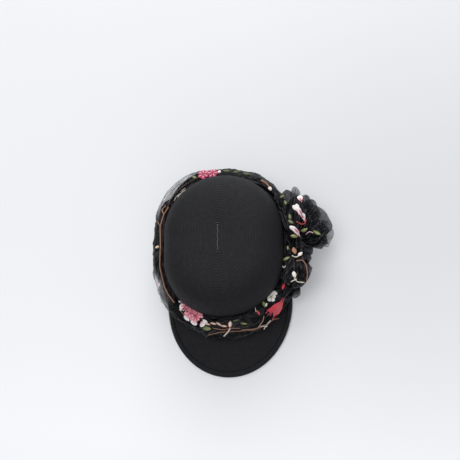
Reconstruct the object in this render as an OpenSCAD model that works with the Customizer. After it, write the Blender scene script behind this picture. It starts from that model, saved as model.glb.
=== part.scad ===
// Sewn straw braid cap with an oval crown and a large front visor. An embroidered tulle
// scarf is wound twice round the foot of the crown and tied in a bow on the wearer's left.
// The origin is the centre of the head opening, on the plane that the rim and the visor's
// edge stand on. +Z goes up through the crown, -Y towards the visor, +X to the wearer's left.

/* [Head and crown] */
// Head circumference, measured inside the sweatband
head_size = 575; // [550:5:600]
// Length of the straight centre slit that the spiral of braid starts round
slit_len = 35; // [28:1:42]
// Height of the crown over the plane that the rim stands on
crown_h = 106; // [100:1:115]
// Thickness of the sewn braid
wall = 2.2; // [1.8:0.1:2.8]
// Squareness of the crown's side profile, where 2 is an ellipse
crown_power = 4.2; // [3.4:0.1:5]
// How far the crown swells out over the scarf
crown_swell = 4.5; // [0:0.5:6]
// Rise of the rim over the brow
brow_rise = 24; // [18:1:28]

/* [Sweatband] */
// Width of the grosgrain sweatband
band_w = 32; // [25:1:38]
// Thickness of the grosgrain
band_t = 0.9; // [0.6:0.1:1.2]

/* [Visor] */
// Reach of the visor in front of the crown
visor_reach = 79; // [75:1:90]
// Half of the visor's greatest width
visor_half_w = 93; // [92:1:97]
// Distance from the slit's front end forward to where the visor is widest
visor_widest = 56; // [52:1:60]
// Angle from straight ahead at which the visor's ends meet the crown
visor_end = 78; // [66:3:78]
// Thickness over the braid folded round the visor's edge
edge_t = 5.2; // [5:0.1:5.6]
// Diameter of the wire in the visor's edge
wire_d = 1.5; // [1:0.1:1.6]

/* [Scarf] */
// How far the lower turn stands out from the crown
lower_out = 20; // [14:1:20]
// How far the upper turn stands out from the crown
upper_out = 18; // [12:1:18]
// Height of the lower turn at the back and sides
lower_tall = 24; // [18:1:26]
// Height of the upper turn at the back and sides
upper_tall = 24; // [18:1:26]
// Extra reach of the lower turn over the visor at the front
front_spread = 11; // [8:1:14]
// Share of their height that the turns keep at the front
front_flat = 0.6; // [0.5:0.01:0.7]

/* [Bow] */
// Width, length and height of the large upper loop
upper_loop = [50, 68, 52];
// Width, length and height of the lower loop
lower_loop = [20, 52, 42];
// Width, length and height of the fold beside the crown
inner_loop = [24, 70, 16];
// Width, length and height of the wrap round the middle
knot = [15, 25, 26];

/* [Hidden] */

black = "#1b1b1f";
sheer = "#34343a";
pink = "#c8405c";
red = "#c01c34";
cream = "#e6dcc8";
green = "#7c8c4c";
brown = "#8c5a3c";

seam_gap = 0.2;
rim_gap = 1.2;
clear_of = 0.5;
thread_t = 0.8;
sheet_step = 3;
turn_step = 6;

head_r = (head_size - 2 * slit_len) / (2 * PI);
rim_r = head_r + band_t + seam_gap + wall;
brow_half = rim_r - wall;
brow_r = (brow_half * brow_half + brow_rise * brow_rise) / (2 * brow_rise);
visor_long = rim_r + visor_reach - visor_widest;
edge_web = 1.8;
edge_arm = 6;
visor_a = visor_half_w - edge_web;
visor_b = visor_long - edge_web;
edge_z = edge_t / 2 + 0.3;
scarf_lift = edge_t / 2 + 0.8;
rim_lip = 1.0;
swell_from = brow_rise + 4;
swell_over = 42;

// ---- Shapes that several pieces share ----

// How far the crown has swollen out at height z
function swell(z) =
    let (s = min(1, max(0, (z - swell_from) / swell_over))) crown_swell * s * s * (3 - 2 * s);

// Radius of the crown's outside at height z, with the whole dome set in by inset
function wall_r(z, inset = 0) =
    (rim_r + swell(z) - inset) * pow(1 - pow(z / (crown_h - inset), crown_power), 1 / crown_power);

// A point at heading h (0 ahead, 90 to the left ear) and radius r from an end of the slit
function spot(h, side, r, z) = [r * sin(h), side * slit_len / 2 - r * cos(h), z];

// Height of the brow arch where heading h crosses the crown's wall
function arch(h, side) =
    let (x = min(rim_r * abs(sin(h)), brow_half))
    side > 0 ? 0 : sqrt(brow_r * brow_r - x * x) - (brow_r - brow_rise);

// Radius of the visor's outline at heading h
function edge_r(h) =
    let (qa = pow(sin(h) / visor_a, 2) + pow(cos(h) / visor_b, 2),
         qb = -2 * visor_widest * cos(h) / pow(visor_b, 2),
         qc = pow(visor_widest / visor_b, 2) - 1)
    (-qb + sqrt(qb * qb - 4 * qa * qc)) / (2 * qa);

// Fall of the visor per millimetre outwards at heading h
function slope(h, side) =
    (side > 0 || abs(h) > visor_end) ? 0 : arch(h, side) / (edge_r(h) - rim_r);

// Height of the middle of the visor's thickness
function visor_z(h, side, r) = edge_z + arch(h, side) - slope(h, side) * (r - rim_r);

function mix(a, b, f) = a + (b - a) * f;

// Radius and height of a point on a turn of the scarf. turn 0 is the lower one, and
// up runs from -90 at the foot of the turn, through 0 at its outside, to 90 at its top.
function turn_rz(turn, h, side, up) =
    let (f = side < 0 ? max(0, cos(h)) : 0,
         low_h = lower_tall * mix(1, front_flat, f),
         high_h = upper_tall * mix(1, front_flat, f),
         tall = turn == 0 ? low_h : high_h,
         foot = scarf_lift + (turn == 0 ? 0 : low_h + clear_of),
         out = turn == 0 ? lower_out + front_spread * pow(f, 1.5)
                         : upper_out + front_spread / 2 * pow(f, 1.5),
         z = visor_z(h, side, rim_r) + foot + tall * (1 + sin(up)) / 2,
         r = wall_r(z) + clear_of + out * pow(max(0, cos(up)), 0.7))
    [r, z - slope(h, side) * (r - rim_r)];

function turn_at(turn, at, up) =
    let (p = turn_rz(turn, at[0], at[1], up)) spot(at[0], at[1], p[0], p[1]);

// Headings and slit ends all the way round, or from one heading to another
all_round = concat([for (h = [-90 : turn_step : 90]) [h, -1]],
                   [for (h = [90 : turn_step : 270]) [h, 1]]);

// Joins rings of points into one closed solid, in a loop or with an end cap at each end.
// A cap is a strip of facets between a ring's first half and its second half, turned back.
module skin(rings, loop = false) {
    n = len(rings[0]);
    count = len(rings);
    sides = [for (i = [0 : loop ? count - 1 : count - 2], j = [0 : n - 1])
        let (k = (i + 1) % count, m = (j + 1) % n)
        [i * n + j, k * n + j, k * n + m, i * n + m]];
    far = (count - 1) * n;
    caps = loop ? [] : [for (j = [0 : n / 2 - 2]) each [
        [j, j + 1, n - 2 - j, n - 1 - j],
        [far + n - 1 - j, far + n - 2 - j, far + j + 1, far + j]]];
    polyhedron(points = [for (r = rings) each r], faces = concat(sides, caps), convexity = 8);
}

// Flat oval whose two round ends are set apart by the slit's length
module oval(r) {
    for (side = [-1, 1]) translate([0, side * slit_len / 2]) circle(r, $fn = 180);
    square([2 * r, slit_len], center = true);
}

// Half of the dome's side profile: the straight foot, then the swollen side and the top
function dome_half(inset) = concat([[0, 0]],
    [for (z = [0, swell_from]) [wall_r(z, inset), z]],
    [for (t = [9 : 4.5 : 90])
        let (z = (crown_h - inset) * pow(sin(t), 2 / crown_power))
        [(rim_r + swell(z) - inset) * pow(cos(t), 2 / crown_power), z]]);

// Solid dome over the oval, set in by inset all over
module dome(inset) {
    half = dome_half(inset);
    for (side = [-1, 1])
        translate([0, side * slit_len / 2, 0])
            rotate([0, 0, side > 0 ? 0 : 180])
                rotate_extrude(angle = 180, $fn = 180)
                    polygon(half);
    rotate([90, 0, 0])
        linear_extrude(slit_len, center = true)
            union() {
                polygon(half);
                mirror([1, 0]) polygon(half);
            }
}

// Everything under the brow arch once it is lifted by lift, in front of the ears
module under_brow(lift) {
    reach = rim_r + slit_len;
    translate([0, -reach / 2, lift + brow_rise - brow_r])
        rotate([90, 0, 0])
            cylinder(r = brow_r, h = reach, center = true, $fn = 360);
}

// Everything behind the ears between two heights
module behind(low, high) {
    reach = 2 * rim_r + slit_len;
    translate([-reach, -1, low]) cube([2 * reach, reach, high - low]);
}

// Pointed petal or leaf lying flat, its length along Y
module petal(long, wide) {
    r = (long * long / 4 + wide * wide / 4) / wide;
    linear_extrude(thread_t)
        intersection() {
            translate([r - wide / 2, 0]) circle(r, $fn = 96);
            translate([wide / 2 - r, 0]) circle(r, $fn = 96);
        }
}

module flower(count, long, wide) {
    heart = wide / 3;
    cylinder(r = heart, h = thread_t, $fn = 32);
    for (i = [0 : count - 1])
        rotate(i * 360 / count)
            translate([0, heart + long / 2 + clear_of, 0])
                petal(long, wide);
}

module bud(long, wide) {
    petal(long, wide);
    translate([0, -long / 2 - 2, 0]) cylinder(r = 1, h = thread_t, $fn = 24);
}

// Lays its children flat on the outside of a turn of the scarf
module on_turn(turn, h, side, up) {
    p = turn_rz(turn, h, side, up);
    a = turn_rz(turn, h, side, up - 4);
    b = turn_rz(turn, h, side, up + 4);
    translate(spot(h, side, p[0], p[1]))
        rotate([90 - atan2(a[0] - b[0], b[1] - a[1]), 0, h])
            translate([0, 0, 1]) children();
}

// Lays its children flat on an oval loop of the bow, at an azimuth and an elevation
module on_loop(middle, size, az, el) {
    d = [cos(el) * cos(az), cos(el) * sin(az), sin(el)];
    p = [for (i = [0 : 2]) middle[i] + d[i] * size[i] / 2];
    n = [for (i = [0 : 2]) d[i] / size[i]];
    translate(p)
        rotate([0, acos(n[2] / norm(n)), atan2(n[1], n[0])])
            translate([0, 0, 0.6]) children();
}

// Embroidered stem along a turn, between two headings on one side of the ears
module stem(turn, from, to, side, up, sway) {
    half = 3;
    skin([for (i = [0 : 16])
        let (h = mix(from, to, i / 16),
             u = up + sway * sin(i * 45),
             low = turn_rz(turn, h, side, u - half),
             high = turn_rz(turn, h, side, u + half))
        [spot(h, side, low[0] + 0.6, low[1] + 0.3), spot(h, side, low[0] + 1.4, low[1] + 0.6),
         spot(h, side, high[0] + 1.4, high[1] + 0.6), spot(h, side, high[0] + 0.6, high[1] + 0.3)]]);
}

// Egg-shaped gathered cloth, from a narrow neck to a full end
module gathered(neck, neck_r, middle, size) {
    hull() {
        translate(neck) sphere(r = neck_r, $fn = 20);
        translate(middle) scale(size / 2) sphere(r = 1, $fn = 24);
    }
}

// One layer of the visor between two heights over the middle of its thickness
module visor_layer(low, high) {
    skin([for (h = [-visor_end : sheet_step : visor_end])
        let (a = rim_r + clear_of, b = edge_r(h) - 1)
        [spot(h, -1, a, visor_z(h, -1, a) + low), spot(h, -1, b, visor_z(h, -1, b) + low),
         spot(h, -1, b, visor_z(h, -1, b) + high), spot(h, -1, a, visor_z(h, -1, a) + high)]]);
}

// A section of [outwards, upwards] points carried along the visor's outline
module along_edge(end, section) {
    skin([for (h = [-end : sheet_step : end])
        [for (p = section)
            let (r = max(edge_r(h) + p[0], rim_r + clear_of))
            spot(h, -1, r, visor_z(h, -1, r) + p[1])]]);
}

// ---- Pieces ----

module crown_braid() color(black) {
    difference() {
        dome(0);
        dome(wall);
        under_brow(0);
        translate([-rim_r - 1, -rim_r - slit_len, -1])
            cube([2 * rim_r + 2, 2 * rim_r + 2 * slit_len, rim_gap + 1]);
    }
}

// The last row of braid, turned under the rim behind the visor's ends
module rim_edge_braid() color(black) {
    reach = rim_r * 2 + slit_len;
    intersection() {
        union() {
            linear_extrude(rim_lip)
                difference() {
                    oval(rim_r + seam_gap + rim_lip);
                    oval(rim_r - wall);
                }
            linear_extrude(5)
                difference() {
                    oval(rim_r + seam_gap + rim_lip);
                    oval(rim_r + seam_gap);
                }
        }
        translate([-reach, -slit_len / 2 - rim_r * cos(visor_end + 2), -1])
            cube([2 * reach, 2 * reach, 20]);
    }
}

module visor_top_braid() color(black) visor_layer(0.35, 1.7);

module visor_interlining() color("#4a4a44") visor_layer(-0.25, 0.25);

module visor_under_braid() color(black) visor_layer(-1.7, -0.35);

module visor_edge_wire() color("#9a9a9a") {
    r = wire_d / 2;
    along_edge(visor_end - sheet_step, [for (t = [0 : 45 : 315]) [r * cos(t), r * sin(t)]]);
}

// The visor's outermost row, folded over the wire and both layers
module visor_edge_braid() color(black) {
    h = edge_t / 2;
    t = 0.8;
    along_edge(visor_end, [
        [-edge_arm, -h], [edge_web / 2, -h], [edge_web, t - h], [edge_web, h - t],
        [edge_web / 2, h], [-edge_arm, h], [-edge_arm, h - t], [0.6, h - t],
        [1, h - 2 * t], [1, 2 * t - h], [0.6, t - h], [-edge_arm, t - h]]);
}

module sweatband() color("#141416") {
    difference() {
        intersection() {
            difference() {
                dome(wall + seam_gap);
                dome(wall + seam_gap + band_t);
            }
            union() {
                behind(rim_gap, band_w);
                under_brow(band_w);
            }
        }
        under_brow(rim_gap);
        translate([-rim_r, -rim_r - slit_len, -1])
            cube([2 * rim_r, 2 * rim_r + 2 * slit_len, rim_gap + 1]);
    }
}

// Folded tab over the join in the sweatband, at the back
module sweatband_tab() color("#141416") {
    depth = 1.2;
    translate([-5, slit_len / 2 + head_r - depth - 1.6, 4]) cube([10, depth, band_w - 10]);
}

module blank_label() color("#d8d4c8") {
    translate([-16, slit_len / 2 + wall_r(52) - wall - 4, 40]) cube([32, 0.6, 14]);
}

module scarf_lower_turn() color(sheer)
    skin([for (at = all_round) [for (up = [-90 : 15 : 90]) turn_at(0, at, up)]], loop = true);

module scarf_upper_turn() color(sheer)
    skin([for (at = all_round) [for (up = [-90 : 15 : 90]) turn_at(1, at, up)]], loop = true);

// Thread bars that hold the upper turn's top edge to the crown
module tack_stitches() color(black) {
    long = 5;
    for (at = [[-60, -1], [-20, -1], [20, -1], [60, -1], [120, 1], [160, 1], [200, 1], [240, 1]])
        let (p = turn_rz(1, at[0], at[1], 90))
        translate(spot(at[0], at[1], p[0] + 0.4, p[1] + 0.8))
            rotate([0, 90, at[0]])
                cylinder(d = 0.7, h = long, center = true, $fn = 16);
}

knot_at = [rim_r + lower_out + clear_of + 1 + knot[0] / 2, 0, 34];
upper_at = [133, 42, 37];
lower_at = [115.5, -41, 33];
inner_at = [97, 50, 64];

module bow_centre_wrap() color(sheer) translate(knot_at) scale(knot / 2) sphere(r = 1, $fn = 24);

module bow_upper_loop() color(sheer) gathered([122, 17, 37], 7, upper_at, upper_loop);

module bow_inner_loop() color(sheer) gathered([103, 14, 62], 5, inner_at, inner_loop);

module bow_lower_loop() color(sheer) gathered([114, -20, 34], 6, lower_at, lower_loop);

// Free corners of the scarf that stand out of the bow
module bow_upper_end() color(sheer) gathered([103.5, 50, 38], 4, [105, 88, 41], [7, 12, 6]);

module bow_lower_end() color(sheer) gathered([101, -63, 18], 4, [100, -75, 15], [6, 8, 5]);

module rear_peony() color(pink) on_turn(1, 196, 1, 40) flower(6, 9, 6);

module front_peony() color(pink) on_turn(0, -40, -1, 10) flower(6, 11, 7);

module red_flower() color(red) on_turn(0, 42, -1, 10) flower(5, 10, 7);

module white_blossoms() color(cream) {
    on_turn(1, 58, -1, 20) flower(5, 5, 4);
    on_turn(1, 132, 1, 30) flower(5, 5, 4);
    on_turn(0, 18, -1, 20) flower(5, 4, 3.4);
}

module bow_flowers() color(pink) {
    on_loop(upper_at, upper_loop, 120, 50) flower(5, 8, 6);
    on_loop(upper_at, upper_loop, 200, 48) flower(5, 8, 6);
}

module embroidered_leaves() color(green) {
    for (h = [156, 168, 180]) on_turn(1, h, 1, 40) rotate(70) petal(11, 4);
    for (h = [-12, -4]) on_turn(1, h, -1, 10) rotate(60) petal(10, 3.6);
    on_turn(1, 214, 1, 40) rotate(80) petal(9, 3.6);
    for (el = [25, 70]) on_loop(upper_at, upper_loop, 165, el) rotate(40) petal(12, 5);
    for (el = [35, 65]) on_loop(lower_at, lower_loop, 100, el) rotate(-30) petal(12, 5);
}

module embroidered_buds() color(cream) {
    on_turn(1, 262, 1, 0) rotate(100) bud(7, 4);
    on_turn(1, 8, -1, 10) rotate(40) bud(8, 4);
    on_turn(1, 34, -1, 10) rotate(-30) bud(7, 4);
    on_loop(lower_at, lower_loop, 250, 50) bud(8, 4);
}

module embroidered_branches() color(brown) {
    stem(1, 224, 268, 1, 30, 14);
    stem(1, -88, -62, -1, 30, 10);
    stem(0, -22, 10, -1, 25, 8);
}

crown_braid();
rim_edge_braid();
visor_top_braid();
visor_interlining();
visor_under_braid();
visor_edge_wire();
visor_edge_braid();
sweatband();
sweatband_tab();
blank_label();
scarf_lower_turn();
scarf_upper_turn();
tack_stitches();
bow_centre_wrap();
bow_upper_loop();
bow_inner_loop();
bow_lower_loop();
bow_upper_end();
bow_lower_end();
rear_peony();
front_peony();
red_flower();
white_blossoms();
bow_flowers();
embroidered_leaves();
embroidered_buds();
embroidered_branches();
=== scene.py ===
import math

import bmesh
import bpy
import numpy as np
from bpy.props import FloatProperty, FloatVectorProperty, IntProperty, PointerProperty
from mathutils import Matrix, Vector, noise


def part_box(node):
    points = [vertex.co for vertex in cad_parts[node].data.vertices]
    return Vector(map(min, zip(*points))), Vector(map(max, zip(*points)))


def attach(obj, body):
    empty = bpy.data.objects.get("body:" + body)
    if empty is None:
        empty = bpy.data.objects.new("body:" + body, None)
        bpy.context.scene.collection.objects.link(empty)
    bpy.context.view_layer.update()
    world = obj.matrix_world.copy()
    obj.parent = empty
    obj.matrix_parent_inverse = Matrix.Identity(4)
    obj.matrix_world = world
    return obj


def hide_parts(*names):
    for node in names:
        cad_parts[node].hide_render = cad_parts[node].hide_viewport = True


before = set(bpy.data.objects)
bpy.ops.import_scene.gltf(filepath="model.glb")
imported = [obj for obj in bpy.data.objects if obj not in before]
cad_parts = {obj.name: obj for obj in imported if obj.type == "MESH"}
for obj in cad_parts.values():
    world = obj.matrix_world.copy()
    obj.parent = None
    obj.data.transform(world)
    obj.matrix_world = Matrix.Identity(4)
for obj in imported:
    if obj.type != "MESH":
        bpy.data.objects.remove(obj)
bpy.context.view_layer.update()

bl_info = {
    "name": "Braid cap with a tulle scarf",
    "version": (1, 0, 0),
    "blender": (4, 5, 0),
    "location": "View3D > Sidebar > Braid cap",
    "description": "Sews a straw braid cap and ties an embroidered tulle scarf round it",
    "category": "Add Mesh",
}

MM = 0.001
BODY = "root"
CROWN_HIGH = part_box("crown_braid")[1]
VISOR_LOW, VISOR_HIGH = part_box("visor_edge_braid")
HALF_SLIT = CROWN_HIGH.y - CROWN_HIGH.x
CROWN_H = CROWN_HIGH.z
RIM_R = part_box("rim_edge_braid")[1].x - 0.0012  # half the crown's width at the rim
WEB = 0.0018  # how far the folded edge row stands out past the visor's layers
TURN = 2 * math.pi


# ---- Sizes and colours that a user would change ----


def length(name, about, default, low=0.0, high=1.0):
    return FloatProperty(
        name=name, description=about, default=default, min=low, max=high, unit="LENGTH", precision=4
    )


def colour(name, about, default):
    return FloatVectorProperty(
        name=name, description=about, default=default, size=3, min=0, max=1, subtype="COLOR"
    )


class CapSizes(bpy.types.PropertyGroup):
    braid_pitch: length("Braid pitch", "Width of each row of braid that shows", 0.004)
    braid_relief: length("Braid relief", "How far a row stands out of its groove", 0.00028)
    braid_wall: length("Braid thickness", "Thickness of the sewn braid", 0.0016)
    brow_rise: length("Brow rise", "Rise of the rim over the brow", 0.024)
    crown_power: FloatProperty(
        name="Crown squareness", description="2 gives an ellipse", default=4.2, min=2, max=6
    )
    crown_swell: length("Crown swell", "How far it swells out over the scarf", 0.0045)
    visor_end: FloatProperty(
        name="Visor end", description="Heading where the visor meets the crown",
        default=math.radians(78), min=0, max=1.5, subtype="ANGLE",
    )
    visor_half_width: length("Visor half width", "At the visor's widest", VISOR_HIGH.x - 0.0015)
    visor_widest: length("Visor widest", "From the slit's front end forward", 0.056)
    edge_height: length("Edge height", "Middle of the visor's edge over the table", 0.0029)
    edge_thickness: length("Edge thickness", "Over the braid folded round the edge", 0.0052)


class ScarfSizes(bpy.types.PropertyGroup):
    lower_out: length("Lower turn", "How far it stands out from the crown", 0.020)
    upper_out: length("Upper turn", "How far it stands out from the crown", 0.018)
    lower_tall: length("Lower height", "Height of the lower turn behind", 0.024)
    upper_tall: length("Upper height", "Height of the upper turn behind", 0.024)
    front_spread: length("Front spread", "Extra reach over the visor", 0.011)
    front_flat: FloatProperty(
        name="Front height", description="Share of height kept in front", default=0.6, min=0, max=1
    )
    clearance: length("Clearance", "Between a turn and what it lies on", 0.0005)
    columns: IntProperty(
        name="Columns", description="Columns of cloth round the crown", default=560, min=40, max=1200
    )


class CapColours(bpy.types.PropertyGroup):
    straw: colour("Straw", "Dyed straw braid", (0.0062, 0.0062, 0.0072))
    tulle: colour("Tulle", "Sheer scarf cloth", (0.0055, 0.0055, 0.0068))
    grosgrain: colour("Grosgrain", "Sweatband ribbon", (0.012, 0.012, 0.013))
    label: colour("Label", "Woven label cloth", (0.62, 0.6, 0.54))
    wire: colour("Wire", "Visor edge wire", (0.45, 0.45, 0.46))
    interlining: colour("Interlining", "Stiff open canvas", (0.12, 0.12, 0.1))
    pink: colour("Pink thread", "Peony petals", (0.68, 0.07, 0.18))
    blush: colour("Blush thread", "Petal tips", (0.85, 0.38, 0.46))
    red: colour("Red thread", "Red flower", (0.85, 0.055, 0.085))
    white: colour("White thread", "Blossoms", (0.97, 0.96, 0.93))
    cream: colour("Cream thread", "Buds and seed heads", (0.86, 0.77, 0.6))
    leaf: colour("Leaf thread", "Light leaves", (0.3, 0.34, 0.11))
    moss: colour("Moss thread", "Dark leaves", (0.1, 0.14, 0.05))
    copper: colour("Copper thread", "Stems and branches", (0.58, 0.27, 0.16))


# ---- The cap's form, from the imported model's boxes and the sizes above ----


def smooth(low, high, x):
    """Eases from 0 at low to 1 at high, whichever of them is larger."""
    t = min(1.0, max(0.0, (x - low) / (high - low)))
    return t * t * (3 - 2 * t)


def mix(a, b, f):
    return a + (b - a) * f


class Form:
    """Where the crown's wall, the visor and the scarf's turns lie."""

    STRAIGHT = 0.045  # share of a ring's columns on each straight side

    def __init__(self, scene):
        self.cap = scene.cap_sizes
        self.scarf = scene.scarf_sizes
        self.brow_half = RIM_R - 0.0022
        rise = self.cap.brow_rise
        self.brow_r = (self.brow_half**2 + rise**2) / (2 * rise)
        self.visor_a = self.cap.visor_half_width - WEB
        reach = -VISOR_LOW.y - HALF_SLIT - WEB
        self.visor_b = reach - self.cap.visor_widest
        self.side = self.side_profile()

    def side_profile(self, count=900):
        """Arc length, radius, height and outward normal down the crown's side, as columns."""
        t = np.linspace(math.pi / 2, 0, count)
        power = 2 / self.cap.crown_power
        z = CROWN_H * np.maximum(np.sin(t), 0) ** power
        wide = RIM_R + np.array([self.swell(height) for height in z])
        r = wide * np.maximum(np.cos(t), 0) ** power
        r[0], z[-1] = 0, 0
        s = np.concatenate([[0], np.cumsum(np.hypot(np.diff(r), np.diff(z)))])
        dr, dz = np.gradient(r, s), np.gradient(z, s)
        return np.stack([s, r, z, -dz, dr])

    def on_side(self, s):
        """Radius, height and normal at arc length s from the slit."""
        table = self.side
        return [float(np.interp(s, table[0], row)) for row in table[1:]]

    def side_length_to(self, z):
        """Arc length from the slit down to height z."""
        return float(np.interp(z, self.side[2][::-1], self.side[0][::-1]))

    def swell(self, z):
        start = self.cap.brow_rise + 0.004
        return self.cap.crown_swell * smooth(start, start + 0.042, z)

    def wall_r(self, z):
        power = self.cap.crown_power
        wide = RIM_R + self.swell(z)
        return wide * max(0.0, 1 - (max(z, 0.0) / CROWN_H) ** power) ** (1 / power)

    def station(self, u):
        """Centre's y and outward direction at share u of the way round, from the left ear back."""
        share = self.STRAIGHT
        u = u % 1.0
        back, u = u < 0.5, u if u < 0.5 else u - 0.5
        sign = 1 if back else -1
        if u < share:
            return sign * mix(-HALF_SLIT, HALF_SLIT, u / share), sign, 0.0
        a = math.pi * (u - share) / (0.5 - share)
        return sign * HALF_SLIT, sign * math.cos(a), sign * math.sin(a)

    def share_at(self, heading):
        """Share of the way round at a heading in degrees: 0 ahead, 90 at the left ear."""
        h = (heading - 90) % 360
        arc = 0.5 - self.STRAIGHT
        if h <= 180:
            return self.STRAIGHT + arc * h / 180
        return 0.5 + self.STRAIGHT + arc * (h - 180) / 180

    def arch(self, dx, dy):
        if dy >= 0:
            return 0.0
        x = min(RIM_R * abs(dx), self.brow_half)
        return math.sqrt(self.brow_r**2 - x * x) - (self.brow_r - self.cap.brow_rise)

    def edge_r(self, dx, dy):
        """Radius of the visor's outline from the slit's front end."""
        w, a, b = self.cap.visor_widest, self.visor_a, self.visor_b
        qa = (dx / a) ** 2 + (dy / b) ** 2
        qb = 2 * w * dy / b**2
        qc = (w / b) ** 2 - 1
        return (-qb + math.sqrt(max(0.0, qb * qb - 4 * qa * qc))) / (2 * qa)

    def slope(self, dx, dy):
        if dy >= 0 or -dy < math.cos(self.cap.visor_end):
            return 0.0
        return self.arch(dx, dy) / (self.edge_r(dx, dy) - RIM_R)

    def visor_z(self, dx, dy, r):
        return self.cap.edge_height + self.arch(dx, dy) - self.slope(dx, dy) * (r - RIM_R)

    def lens(self, turn, dx, dy, up, share):
        """Radius and height on a turn of the scarf at angle up, share of the way out to it."""
        scarf = self.scarf
        f = max(0.0, -dy)
        low_h = scarf.lower_tall * mix(1, scarf.front_flat, f)
        high_h = scarf.upper_tall * mix(1, scarf.front_flat, f)
        lift = self.cap.edge_thickness / 2 + 0.0008
        if turn == "lower":
            tall, foot, out = low_h, lift, scarf.lower_out + scarf.front_spread * f**1.5
        else:
            tall, foot = high_h, lift + low_h + scarf.clearance
            out = scarf.upper_out + scarf.front_spread / 2 * f**1.5
        z = self.visor_z(dx, dy, RIM_R) + foot + tall * (1 + math.sin(up)) / 2
        bulge = max(0.0, math.cos(up)) ** 0.7
        r = self.wall_r(z) + scarf.clearance + out * bulge * share
        return r, z - self.slope(dx, dy) * (r - RIM_R)


def place(centre_y, dx, dy, r, z):
    return Vector((dx * r, centre_y + dy * r, z))


# ---- Meshes: a grid laid where a rule says ----


def sheet_mesh(name, columns, rows, rule, maps=None):
    """An object from a grid whose point at shares (u, v) goes to rule(u, v).

    maps gives UV maps by name, each a rule of (u, v, middle u, middle v of the face).
    """
    bm = bmesh.new()
    bmesh.ops.create_grid(bm, x_segments=columns, y_segments=rows, size=0.5)
    for map_name, map_rule in (maps or {}).items():
        layer = bm.loops.layers.uv.new(map_name)
        for face in bm.faces:
            middle = face.calc_center_median()
            for loop in face.loops:
                at = loop.vert.co
                loop[layer].uv = map_rule(at.x + 0.5, at.y + 0.5, middle.x + 0.5, middle.y + 0.5)
    for vert in bm.verts:
        vert.co = rule(vert.co.x + 0.5, vert.co.y + 0.5)
    return object_of(bm, name)


def object_of(bm, name):
    mesh = bpy.data.meshes.new(name)
    bm.to_mesh(mesh)
    bm.free()
    mesh.polygons.foreach_set("use_smooth", [True] * len(mesh.polygons))
    piece = bpy.data.objects.new(name, mesh)
    bpy.context.scene.collection.objects.link(piece)
    return piece


def edit(piece, work):
    """Runs work on the piece's mesh as a bmesh."""
    bm = bmesh.new()
    bm.from_mesh(piece.data)
    work(bm)
    bm.to_mesh(piece.data)
    bm.free()
    piece.data.update()


def weld(bm, distance=1e-5):
    bmesh.ops.remove_doubles(bm, verts=bm.verts, dist=distance)
    bmesh.ops.dissolve_degenerate(bm, edges=bm.edges, dist=distance)
    bmesh.ops.recalc_face_normals(bm, faces=bm.faces)


def merge_seam(bm):
    bmesh.ops.remove_doubles(bm, verts=bm.verts, dist=1e-6)


def close_ends(bm):
    """Joins the seam of a swept piece and caps its two ends."""
    merge_seam(bm)
    bmesh.ops.holes_fill(bm, edges=[e for e in bm.edges if e.is_boundary], sides=0)
    bmesh.ops.recalc_face_normals(bm, faces=bm.faces)


def tube(name, points, radius, closed=False, sides=8):
    """A round tube along a list of points, closed into a ring or capped."""
    path = [Vector(p) for p in points]
    count = len(path)
    frames = []
    up = Vector((0, 0, 1))
    for i, point in enumerate(path):
        before = path[i - 1] if i or closed else path[0]
        after = path[(i + 1) % count] if i + 1 < count or closed else path[-1]
        along = (after - before).normalized()
        across = along.cross(up)
        across = across.normalized() if across.length > 1e-6 else Vector((1, 0, 0))
        frames.append((point, across, across.cross(along)))

    def rule(u, v):
        i = round(u * (count if closed else count - 1)) % count
        point, across, lift = frames[i]
        a = TURN * v
        return point + across * (radius * math.cos(a)) + lift * (radius * math.sin(a))

    piece = sheet_mesh(
        name, count if closed else count - 1, sides, rule,
        {"stitch": lambda u, v, mu, mv: (u * count * 0.003, v)},
    )

    def work(bm):
        merge_seam(bm)
        open_edges = [e for e in bm.edges if e.is_boundary]
        if open_edges:
            bmesh.ops.holes_fill(bm, edges=open_edges, sides=sides + 1)
        bmesh.ops.recalc_face_normals(bm, faces=bm.faces)

    edit(piece, work)
    return piece


def join(name, pieces):
    """One object from several, keeping their materials."""
    main, rest = pieces[0], pieces[1:]
    if rest:
        with bpy.context.temp_override(
            active_object=main, selected_editable_objects=pieces, selected_objects=pieces
        ):
            bpy.ops.object.join()
    main.name = name
    main.data.name = name
    return main


def hand_over(piece, slot, *nodes):
    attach(piece, BODY)
    if nodes:
        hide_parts(*nodes)
    return piece


# ---- Finishes ----


class Value:
    """A socket whose arithmetic adds Math nodes to its finish."""

    def __init__(self, finish, socket):
        self.finish, self.socket = finish, socket

    def maths(self, operation, *others):
        values = dict(enumerate([self, *others]))
        return self.finish.add("ShaderNodeMath", {"operation": operation}, values)

    def __add__(self, other):
        return self.maths("ADD", other)

    def __sub__(self, other):
        return self.maths("SUBTRACT", other)

    def __mul__(self, other):
        return self.maths("MULTIPLY", other)

    def __rsub__(self, other):
        return self.finish.add("ShaderNodeMath", {"operation": "SUBTRACT"}, {0: other, 1: self})

    __radd__ = __add__
    __rmul__ = __mul__


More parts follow.
